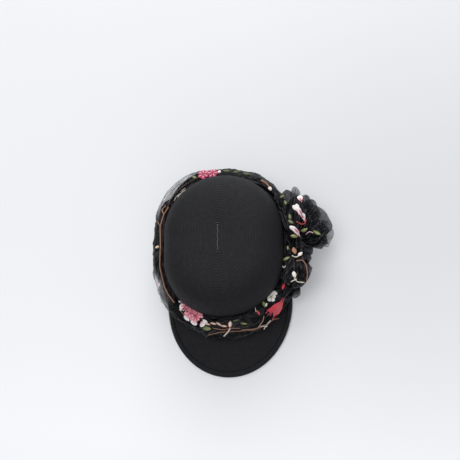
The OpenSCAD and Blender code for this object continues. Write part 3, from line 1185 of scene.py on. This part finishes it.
class Loop:
    """A gathered loop of the bow: cloth that leaves the knot, turns and comes back to it."""

    def __init__(self, neck, far, girth, width, seed, roll, cover, rough=1.0):
        self.neck, self.far = Vector(neck) * MM, Vector(far) * MM
        self.girth, self.width = girth * MM, width * MM
        self.seed, self.roll, self.cover = seed, math.radians(roll), cover
        self.rough = rough
        self.columns, self.rows = max(30, int(girth * 1.3 + 30)), max(20, int(width * 0.9))

    def build(self, name):
        out = self.far - self.neck
        reach = out.length
        ahead = out.normalized()
        flat = ahead.cross(Vector((0, 0, 1))).normalized()
        tall = flat.cross(ahead)
        spread = flat * math.cos(self.roll) + tall * math.sin(self.roll)
        upward = tall * math.cos(self.roll) - flat * math.sin(self.roll)
        size = self.rough * min(1.0, self.width / 0.04)

        def rule(u, v):
            go = math.sin(math.pi * u) ** 0.8
            side = 2 * v - 1
            fan = mix(0.14, 1.0, go**0.7)
            pleat = math.cos(math.pi * PLEATS * (side + 0.15 * math.sin(5 * u)))
            pleat *= 0.0022 * (1 - 0.7 * go) * size
            big = ripple(u * 2.6, side * 1.9, 0, self.seed) * 0.009
            crease = 0.004 * (0.5 - abs(ripple(u * 5.5, side * 4.1, 3, self.seed + 2)) * 2)
            fine = 0.0012 * (0.5 - abs(ripple(u * 14, side * 11, 6, self.seed + 4)) * 2)
            ruffle = (big + crease + fine) * go * size
            curl = 0.004 * ripple(u * 4.0, side * 2.0, 9, self.seed + 6) * go * size
            bulge = math.sin(TURN * u) * self.girth * 0.5 * (1 - 0.45 * side * side)
            far_share = go * (1 - 0.28 * side * side)
            return (
                self.neck
                + ahead * (reach * far_share + curl)
                + spread * (self.width * 0.5 * side * fan + curl)
                + upward * (bulge + pleat + ruffle)
            )

        cut_length = reach * 2.3 + self.girth

        def cloth_uv(u, v, middle_u, middle_v):
            return (u * cut_length, v * self.width)

        def cover_uv(u, v, middle_u, middle_v):
            go = math.sin(math.pi * u) ** 0.8
            side = 2 * v - 1
            # crease marks where the tulle paints highlights along the loop's folds.
            crease = ridge(ripple(u * 5.5, side * 4.1, 3, self.seed + 2), 13)
            crease += 0.3 * ridge(ripple(u * 14, side * 11, 6, self.seed + 4), 9)
            return (mix(0.92, self.cover, smooth(0.25, 1.0, go)), crease)

        maps = {"cloth": cloth_uv, "cover": cover_uv}
        return sheet_mesh(name, self.columns, self.rows, rule, maps)


SIM_STEPS = 12
SIM_SWELL = 0.16  # share by which the cloth is cut larger than its space
SIM_LIMIT = 0.003  # how far a point may move


def crumple(piece, columns, rows):
    """Lets the cloth buckle: it is cut larger than the space it starts in, and held at its neck."""
    start = grid_points(piece, columns, rows).copy()
    group = piece.vertex_groups.new(name="held")
    for index in range(len(piece.data.vertices)):
        u = (index % (columns + 1)) / columns
        weight = smooth(0.12, 0.04, u) + smooth(0.88, 0.96, u)
        if weight > 0:
            group.add([index], weight, "REPLACE")
    cloth = piece.modifiers.new("cloth", "CLOTH")
    settings = cloth.settings
    settings.quality = 6
    settings.mass = 0.08
    settings.tension_stiffness = settings.compression_stiffness = 6
    settings.shear_stiffness = 2
    settings.bending_stiffness = 0.04
    settings.air_damping = 3
    settings.vertex_group_mass = "held"
    settings.shrink_min = settings.shrink_max = -SIM_SWELL
    settings.effector_weights.gravity = 0.15
    cloth.collision_settings.use_self_collision = True
    cloth.collision_settings.self_distance_min = 0.0012
    cloth.point_cache.frame_start, cloth.point_cache.frame_end = 1, SIM_STEPS
    scene = bpy.context.scene
    for step in range(1, SIM_STEPS + 1):
        scene.frame_set(step)
    settled = piece.evaluated_get(bpy.context.evaluated_depsgraph_get())
    co = np.zeros(len(settled.data.vertices) * 3)
    settled.data.vertices.foreach_get("co", co)
    piece.modifiers.remove(cloth)
    scene.frame_set(1)
    moved = co.reshape(rows + 1, columns + 1, 3).transpose(1, 0, 2) - start
    far = np.linalg.norm(moved, axis=2, keepdims=True)
    moved *= np.minimum(1, SIM_LIMIT / np.maximum(far, 1e-9))
    result = (start + moved).transpose(1, 0, 2).reshape(-1)
    piece.data.vertices.foreach_set("co", result)
    piece.data.update()


def keep_clear(points, form):
    """Pushes points out of the crown's wall and up off the table."""
    flat = points.reshape(-1, 3)
    for p in flat:
        y = p[1] - math.copysign(min(abs(p[1]), HALF_SLIT), p[1])
        r = math.hypot(p[0], y)
        z = max(0.0, p[2])
        wall = form.wall_r(min(z, CROWN_H * 0.98)) + 0.001
        if r < wall and z < CROWN_H * 0.9:
            grow = wall / max(r, 1e-6)
            p[0] *= grow
            p[1] = p[1] - y + y * grow
        p[2] = max(p[2], 0.004)
    return points


# Each part of the bow: its CAD node, and its loops as neck, far end, girth, width, seed,
# roll, cover at the far end and, for a smoother loop, its roughness. Lengths are in mm.
BOW_PARTS = (
    ("bow_upper_pouf", "bow_upper_loop", (
        ((110, 8, 42), (156, 25.5, 38), 44, 44, 5, 0, 0.3, 0.65),
        ((110, 10, 40), (141, 53, 38), 46, 50, 11, 14, 0.5, 0.65),
        ((110, 12, 42), (127, 67, 40), 40, 30, 71, 6, 0.55, 0.6),
        ((110, 12, 44), (113, 74, 42), 36, 34, 17, -10, 0.6),
        ((112, 6, 38), (147, 12, 36), 36, 30, 23, -22, 0.62),
        ((112, 10, 40), (134, 38, 44), 30, 44, 29, 30, 0.76),
        ((110, 8, 44), (146, 26, 44), 30, 40, 31, -8, 0.7),
        ((108, 14, 42), (122, 57, 46), 26, 36, 33, 12, 0.8),
    )),
    ("bow_inner_fold", "bow_inner_loop", (
        ((98, 6, 58), (92, 80, 58), 17, 26, 9, 0, 0.6),
        ((102, 6, 58), (106, 70, 54), 18, 26, 41, 25, 0.62),
        ((96, 14, 60), (89, 60, 62), 12, 20, 43, -20, 0.7),
    )),
    ("bow_lower_pouf", "bow_lower_loop", (
        ((104, -4, 42), (115.5, -52, 34), 34, 28, 14, 0, 0.62),
        ((103, -4, 44), (102, -62, 36), 30, 32, 47, 18, 0.8),
        ((98, -8, 52), (90, -58, 48), 20, 24, 53, -24, 0.85),
        ((108, -6, 40), (115, -28, 36), 30, 22, 59, 12, 0.7),
        ((107, 0, 40), (122, -15, 37), 22, 24, 67, -6, 0.8),
        ((104, -4, 46), (108, -50, 42), 24, 28, 61, -14, 0.9),
    )),
    ("bow_upper_corner", "bow_upper_end", (
        ((101, 52, 46), (102, 88, 42), 8, 15, 21, 0, 0.32),
    )),
    ("bow_lower_corner", "bow_lower_end", (
        ((103, -50, 26), (96, -71, 18), 8, 14, 25, 0, 0.4),
    )),
)


class CAP_OT_bow(bpy.types.Operator):
    """The bow: gathered loops, free corners and the wrap that ties them"""

    bl_idname = "cap.bow"
    bl_label = "Bow"

    def execute(self, context):
        form = Form(context.scene)
        tint = context.scene.cap_colours.tulle
        # The bow's hem thread is 4 to 16 times lighter than the tulle: painted highlight lines along
        # the loops' edges.
        hem_thread = thread_finish("bow hem roll highlight", shade(tint, 4), shade(tint, 16))
        finish = tulle_finish("bow tulle", tint)
        for name, node, loops in BOW_PARTS:
            pieces, hems, area = [], [], 0.0
            for number, values in enumerate(loops):
                loop = Loop(*values)
                piece = loop.build(f"{name}_{number}")
                if number == 0 and len(loops) > 3 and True:
                    crumple(piece, loop.columns, loop.rows)
                points = keep_clear(grid_points(piece, loop.columns, loop.rows), form)
                piece.data.vertices.foreach_set("co", points.transpose(1, 0, 2).reshape(-1))
                drape = Drape(points)
                DRAPES[f"{name}_{number}"] = drape
                piece.data.materials.append(finish)
                pieces.append(piece)
                for k, v in enumerate((0.0, 1.0)):
                    line = [drape.at(0.06 + 0.88 * i / 60, v) for i in range(61)]
                    hem = tube(f"{name}_{number}_hem_{k}", line, 0.00028, sides=5)
                    hem.data.materials.append(hem_thread)
                    hems.append(hem)
            piece = join(name, pieces)
            finer = piece.modifiers.new("finer", "SUBSURF")
            finer.levels = finer.render_levels = 1
            hand_over(piece, "tulle", node)
            hem = join(f"{name}_hems", hems)
            hand_over(hem, "black_thread")
        wrap = self.wrap(form)
        wrap.data.materials.append(finish)
        hand_over(wrap, "tulle", "bow_centre_wrap")
        return {"FINISHED"}

    @staticmethod
    def wrap(form):
        """Tulle wound round the bow's middle in gathered folds."""
        low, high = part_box("bow_centre_wrap")
        middle, size = (low + high) / 2, (high - low) / 2
        middle.x -= 0.002

        def rule(u, v):
            a = TURN * u
            across = (v - 0.5) * 2
            fold = 0.0011 * math.sin(across * 13 + 0.8 * math.sin(a * 2))
            fold += 0.0008 * ripple(math.cos(a) * 2, math.sin(a) * 2, across * 4, 31)
            waist = 1 - 0.18 * math.cos(math.pi * across / 2)
            rx, rz = size.x * waist + fold, size.z * waist + fold
            twist = 0.0025 * math.sin(a)
            return middle + Vector((rx * math.cos(a), across * size.y + twist, rz * math.sin(a)))

        piece = sheet_mesh(
            "bow_wrap_folds", 72, 48, rule,
            {
                "cloth": lambda u, v, mu, mv: (u * 0.07, v * 0.05),
                # A crease value of 0.5 paints an even partial highlight over the whole wrap.
                "cover": lambda u, v, mu, mv: (0.9, 0.5),
            },
        )
        edit(piece, merge_seam)
        return piece


# ---- Embroidery ----


class Needle:
    """Lays satin-stitched shapes on the cloth, given places in plan in millimetres."""

    def __init__(self, name, cover):
        self.name, self.cover = name, cover
        self.pieces = []

    def shape(self, x, y, angle, long, wide, material, outline, rise=0.0007):
        """One shape round (x, y), turned by angle from +Y, with outline(t) its half width."""
        a = math.radians(angle)
        ahead, side = (-math.sin(a), math.cos(a)), (math.cos(a), math.sin(a))
        long, wide = long * MM, wide * MM
        fall = self.cover.fall(x * MM, y * MM)
        steep = math.hypot(*fall)
        down = (fall[0] / steep, fall[1] / steep) if steep else (1.0, 0.0)
        short = 1 - max(0.45, 1 / math.hypot(1, steep))

        def rule(s, t):
            q = (t - 0.5) * long
            p = (s - 0.5) * wide * outline(t)
            off = (ahead[0] * q + side[0] * p, ahead[1] * q + side[1] * p)
            slide = (off[0] * down[0] + off[1] * down[1]) * short
            point = self.cover.at(
                x * MM + off[0] - down[0] * slide, y * MM + off[1] - down[1] * slide
            )
            dome = math.sqrt(max(0.0, 1 - (2 * s - 1) ** 2)) * min(1.0, outline(t) * 2)
            point.z += 0.0005 + rise * dome
            return point

        columns, rows = max(4, int(wide / 0.0008)), max(6, int(long / 0.0009))
        piece = sheet_mesh(
            f"{self.name}_{len(self.pieces)}", columns, rows, rule,
            {"stitch": lambda s, t, ms, mt: (t * long, t)},
        )
        edit(piece, lambda bm: weld(bm, 2e-5))
        piece.data.materials.append(material)
        self.pieces.append(piece)

    def petal(self, x, y, angle, long, wide, material, rise=0.0007):
        self.shape(x, y, angle, long, wide, material,
                   lambda t: math.sin(math.pi * min(1.0, max(0.0, t))) ** 0.75, rise)

    def drop(self, x, y, angle, long, wide, material, rise=0.0007):
        """A petal that is fullest near its tip."""
        self.shape(x, y, angle, long, wide, material,
                   lambda t: math.sin(math.pi * min(1.0, max(0.0, t)) ** 1.9) ** 0.7, rise)

    def fan(self, x, y, angle, spread, count, long, wide, material, rise=0.0007):
        """Petals that open out from one point, first and last spread degrees apart."""
        for i in range(count):
            a = angle + spread * (i / max(1, count - 1) - 0.5)
            rad = math.radians(a)
            self.drop(x - math.sin(rad) * long / 2, y + math.cos(rad) * long / 2, a, long, wide,
                      material, rise)

    def spot(self, x, y, size, material):
        self.shape(x, y, 0, size, size, material,
                   lambda t: math.sqrt(max(0.0, 1 - (2 * t - 1) ** 2)), 0.0012)

    def stroke(self, points, wide, material):
        """A stem as a raised cord through points in plan."""
        path = []
        for (x0, y0), (x1, y1) in zip(points, points[1:]):
            steps = max(2, int(math.hypot(x1 - x0, y1 - y0) / 1.5))
            path += [(mix(x0, x1, i / steps), mix(y0, y1, i / steps)) for i in range(steps)]
        path.append(points[-1])
        line = [self.cover.at(x * MM, y * MM) + Vector((0, 0, 0.0006)) for x, y in path]
        line = relaxed(line)
        piece = tube(f"{self.name}_{len(self.pieces)}", line, wide * MM / 2, sides=6)
        piece.data.materials.append(material)
        self.pieces.append(piece)

    def strokes(self, threads, *rows):
        """Stems, each row a thread's name, a width and points in plan."""
        for thread, wide, *points in rows:
            self.stroke(points, wide, threads[thread])

    def finish(self, slot, *nodes):
        piece = join(self.name, self.pieces)
        hand_over(piece, slot, *nodes)
        return piece


def relaxed(line, rounds=3):
    """A line of points with its jumps evened out."""
    for _ in range(rounds):
        line = [line[0]] + [
            (a + b * 2 + c) / 4 for a, b, c in zip(line, line[1:], line[2:])
        ] + [line[-1]]
    return line


def threads_of(context):
    """Embroidery threads, each shading from a shape's root to its tip."""
    tints = context.scene.cap_colours
    return {
        "pink": thread_finish("peony thread", tints.pink, tints.blush),
        "wine": thread_finish("wine thread", shade(tints.pink, 0.5), tints.pink),
        "lace": thread_finish("lace thread", tints.blush, tints.white),
        "pale": thread_finish("pale petal thread", tints.blush, tints.white),
        "red": thread_finish("red thread", shade(tints.red, 0.8), tints.red),
        "white": thread_finish("white thread", tints.cream, tints.white),
        "cream": thread_finish("cream thread", tints.copper, tints.cream),
        "leaf": thread_finish("leaf thread", tints.moss, tints.leaf),
        "moss": thread_finish("moss thread", shade(tints.moss, 0.5), tints.moss),
        "copper": thread_finish("copper thread", shade(tints.copper, 0.6), tints.copper),
        "bark": thread_finish("bark thread", shade(tints.copper, 0.06), shade(tints.copper, 0.2)),
    }


class CAP_OT_scarf_embroidery(bpy.types.Operator):
    """Flowers, leaves and branches stitched on the scarf's turns"""

    bl_idname = "cap.scarf_embroidery"
    bl_label = "Scarf embroidery"

    def execute(self, context):
        threads = threads_of(context)
        cover = Cover([DRAPES["upper"], DRAPES["lower"]])

        rear = Needle("rear_peony_stitches", cover)
        for x, y, turn in ((-31, 111, 0), (-17, 112, 30)):
            for i in range(6):
                a = turn + 60 * i
                rad = math.radians(a)
                rear.drop(x - 4 * math.sin(rad), y + 4 * math.cos(rad), a, 9, 6,
                          threads["wine"])
            rear.fan(x, y, turn + 30, 300, 6, 7, 1.6, threads["lace"], 0.0015)
            rear.spot(x, y, 2.5, threads["red"])
        rear.drop(-8, 113, 300, 7, 5, threads["lace"])
        rear.finish("pink_thread", "rear_peony")

        front = Needle("front_peony_stitches", cover)
        for x, y, angle in ((-58, -86, 75), (-52, -98, 140), (-42, -105, 150), (-33, -108, 215),
                            (-60, -80, 20)):
            front.fan(x, y, angle, 70, 4, 8, 5, threads["lace"])
        for x, y, angle in ((-56, -86, 0), (-50, -91, 340), (-44, -96, 10), (-38, -101, 330),
                            (-50, -94, 160), (-42, -100, 190)):
            front.fan(x, y, angle, 130, 5, 9, 4.5, threads["pink"])
        for x, y, angle in ((-54, -87, 0), (-47, -94, 20), (-40, -100, 350)):
            front.fan(x, y, angle, 320, 9, 8, 1.5, threads["red"], 0.0016)
            front.fan(x, y, angle + 18, 300, 8, 8, 1.1, threads["lace"], 0.0018)
            front.fan(x, y, angle + 5, 290, 6, 5, 1.5, threads["wine"], 0.002)
        front.finish("pink_thread", "front_peony")

        red = Needle("red_flower_stitches", cover)
        red.drop(76, -87, 146, 31, 8, threads["red"])
        red.drop(79, -86, 162, 28, 6, threads["red"])
        red.drop(72, -88, 126, 26, 8, threads["red"])
        red.petal(66, -95, 80, 9, 4, threads["red"])
        for k in range(9):
            a = 122 + 6 * k
            rad = math.radians(a)
            out = 12 + 5 * math.sin(k * 2.3)
            x, y = 74 - out * math.sin(rad), -86 + out * math.cos(rad)
            thread = threads["wine" if k % 2 else "red"]
            red.petal(x, y, a + 8 * math.sin(k * 1.7), 10, 1.4, thread, 0.0016)
        red.petal(84, -60, 160, 10, 4, threads["red"])
        red.petal(49, -98, 30, 8, 3, threads["red"])
        red.finish("red_thread", "red_flower")

        white = Needle("white_blossom_stitches", cover)
        white.fan(67, -76, 0, 288, 5, 7, 6, threads["white"], 0.0012)
        white.fan(70, -72, 340, 90, 3, 6, 5, threads["white"])
        white.spot(67, -75, 3, threads["leaf"])
        white.petal(67, 84, 30, 8, 5, threads["white"])
        white.petal(-27, -108, 240, 9, 4, threads["white"])
        white.strokes(
            threads,
            ("white", 1.8, (9, -119), (4, -124), (-2, -128)),
            ("white", 1.4, (63, -105), (57, -111), (53, -117)),
            ("white", 1.2, (58, -113), (49, -114)),
            ("white", 1.2, (46, -97), (44, -88)),
        )
        white.petal(-97, -49, 170, 7, 3.5, threads["pale"])
        # These thin white strokes along the fold near the crown stand in for highlight streaks on the
        # folded cloth: painted highlight laid as white thread.
        white.strokes(
            threads,
            ("white", 0.7, (-74, 72), (-70, 79), (-65, 83)),
            ("white", 0.9, (-69, 77), (-63, 84), (-57, 88)),
            ("white", 0.6, (-64, 86), (-57, 91)),
        )
        white.finish("cream_thread", "white_blossoms")

        leaves = Needle("leaf_stitches", cover)
        for x, y, angle in ((4, 114, 80), (19, 112, 100), (33, 108, 75)):
            leaves.petal(x, y, angle, 12, 4.5, threads["moss"])
        leaves.petal(-44, 107, 60, 8, 4, threads["leaf"])
        leaves.petal(-25, -118, 265, 13, 6, threads["leaf"])
        leaves.petal(17, -109, 280, 9, 2.6, threads["moss"])
        leaves.petal(28, -113, 262, 10, 3, threads["leaf"])
        leaves.petal(57, -86, 20, 9, 4.5, threads["leaf"])
        leaves.finish("green_thread", "embroidered_leaves")

        buds = Needle("bud_stitches", cover)
        buds.petal(9, -114, 350, 11, 6, threads["copper"])
        buds.petal(9, -114, 350, 9, 4, threads["white"], 0.0014)
        for x, y, angle in ((-24, -112, 250), (-15, -112, 256), (-7, -113, 235), (0, -116, 260)):
            buds.petal(x, y, angle, 11, 3.4, threads["copper"])
            buds.petal(x, y, angle, 9, 2.0, threads["white"], 0.0014)
        buds.petal(60, -87, 340, 6, 3, threads["white"])
        buds.petal(-98, 4, 100, 7, 4, threads["cream"])
        buds.finish("cream_thread", "embroidered_buds")

        branches = Needle("branch_stitches", cover)
        vine = [(-73, -78), (-82, -66), (-88, -54), (-94, -26), (-93, 4), (-94, 34), (-89, 52),
                (-82, 63)]
        branches.strokes(
            threads,
            ("copper", 1.7, *vine),
            ("copper", 1.4, (-89, 52), (-92, 60), (-86, 66)),
            ("copper", 1.2, (-94, 34), (-98, 42)),
            ("bark", 0.7, (-86, 66), (-93, 74), (-86, 88), (-72, 101), (-58, 110), (-46, 114)),
        )
        limb = [(-24, -126), (-8, -124), (8, -123), (24, -122), (42, -119), (56, -112), (66, -104),
                (74, -101)]
        branches.strokes(
            threads,
            ("copper", 1.0, *limb),
            ("bark", 0.7, *[(x + 0.5, y + 0.8) for x, y in limb[1:-1]]),
            ("cream", 0.7, *[(x, y + 1.0) for x, y in limb[3:6]]),
            ("copper", 1.0, (-16, -118), (-2, -121), (9, -119), (22, -119)),
            ("bark", 0.8, (22, -119), (32, -117), (38, -112)),
            ("bark", 0.8, (-12, -121), (-20, -123), (-30, -128)),
            ("cream", 0.9, (46, -116), (54, -108), (56, -102)),
            ("bark", 1.5, (-84, 62), (-79, 74), (-72, 84), (-62, 93), (-50, 101), (-38, 106)),
            ("copper", 2.4, (54, 97), (62, 92), (66, 86)),
            ("copper", 1.0, (-66, -88), (-58, -97), (-46, -107), (-40, -112)),
        )
        branches.finish("brown_thread", "embroidered_branches")
        return {"FINISHED"}


class CAP_OT_bow_embroidery(bpy.types.Operator):
    """Petals, leaves and a branch stitched on the bow"""

    bl_idname = "cap.bow_embroidery"
    bl_label = "Bow embroidery"

    def execute(self, context):
        threads = threads_of(context)
        cover = Cover([DRAPES[key] for key in DRAPES if key.startswith("bow")], 0.0015)
        petals = Needle("bow_petal_stitches", cover)
        petals.drop(112, 63, 15, 14, 8, threads["pale"])
        for x, y, angle, long in ((108, 47, 12, 17), (112, 41, 30, 24), (107, 47, 44, 17),
                                  (116, 36, 18, 14)):
            petals.drop(x, y, angle, long, 6.5, threads["pale"])
        for x, y, angle in ((103, 19, 62), (107, 14, 42), (104, 16, 30)):
            petals.drop(x, y, angle, 17, 6, threads["pale"])
        for x, y, angle in ((112, 62, 15), (112, 43, 30), (114, 38, 24), (105, 17, 44)):
            petals.petal(x, y, angle, 8, 1.8, threads["wine"], 0.0016)
            petals.petal(x + 1, y - 1, angle + 16, 6, 1.2, threads["red"], 0.0016)
        petals.strokes(
            threads,
            ("red", 1.4, (119, 33), (118, 28), (113, 26), (106, 29)),
            ("lace", 1.2, (118, 13), (123, 16), (129, 13)),
        )
        petals.petal(101, -10, 10, 12, 7, threads["copper"])
        petals.petal(109, -15, 315, 9, 5, threads["white"])
        petals.strokes(threads, ("white", 1.6, (98, -18), (103, -21), (107, -18)))
        petals.petal(101, -46, 15, 10, 6, threads["white"])
        petals.strokes(
            threads,
            ("white", 1.4, (101, -51), (104, -56), (114, -56)),
            ("white", 1.4, (104, -52), (96, -56)),
            ("copper", 1.3, (104, -26), (112, -24), (118, -32), (119, -44), (117, -54)),
            ("white", 1.3, (84, -32), (86, -37), (89, -33)),
        )
        petals.finish("pink_thread", "bow_flowers")
        leaves = Needle("bow_leaf_stitches", cover)
        for x, y, angle, long in ((86, 67, 290, 8), (91, 57, 20, 8), (97, 36, 10, 10),
                                  (98, 29, 60, 10), (102, 9, 80, 11), (116, 19, 290, 11),
                                  (134, 13, 240, 13), (89, -22, 285, 13), (92, -6, 0, 7)):
            leaves.petal(x, y, angle, long, 5, threads["moss" if x < 99 and y > 20 else "leaf"])
            leaves.petal(x, y, angle, long * 0.8, 1.2, threads["cream"], 0.0013)
        leaves.finish("green_thread")
        return {"FINISHED"}


class CAP_PT_panel(bpy.types.Panel):
    """Steps of making the cap"""

    bl_idname = "CAP_PT_panel"
    bl_label = "Braid cap"
    bl_space_type = "VIEW_3D"
    bl_region_type = "UI"
    bl_category = "Braid cap"

    def draw(self, context):
        for step in STEPS:
            self.layout.operator(step.bl_idname)
        for group in (context.scene.cap_sizes, context.scene.scarf_sizes, context.scene.cap_colours):
            for name in group.__annotations__:
                self.layout.prop(group, name)


STEPS = (
    STAGE_OT_studio, CAP_OT_crown, CAP_OT_visor, CAP_OT_rim, CAP_OT_scarf, CAP_OT_bow,
    CAP_OT_scarf_embroidery, CAP_OT_bow_embroidery,
)
GROUPS = {"cap_sizes": CapSizes, "scarf_sizes": ScarfSizes, "cap_colours": CapColours}


def register():
    for group in GROUPS.values():
        bpy.utils.register_class(group)
    for name, group in GROUPS.items():
        setattr(bpy.types.Scene, name, PointerProperty(type=group))
    for step in (*STEPS, CAP_PT_panel):
        bpy.utils.register_class(step)


def unregister():
    for step in reversed((*STEPS, CAP_PT_panel)):
        bpy.utils.unregister_class(step)
    for name, group in GROUPS.items():
        delattr(bpy.types.Scene, name)
        bpy.utils.unregister_class(group)


def main():
    register()
    bpy.ops.cap.studio()
    bpy.ops.cap.crown()
    bpy.ops.cap.visor()
    bpy.ops.cap.rim()
    bpy.ops.cap.scarf()
    bpy.ops.cap.bow()
    bpy.ops.cap.scarf_embroidery()
    bpy.ops.cap.bow_embroidery()
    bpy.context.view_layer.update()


if __name__ == "__main__":
    main()
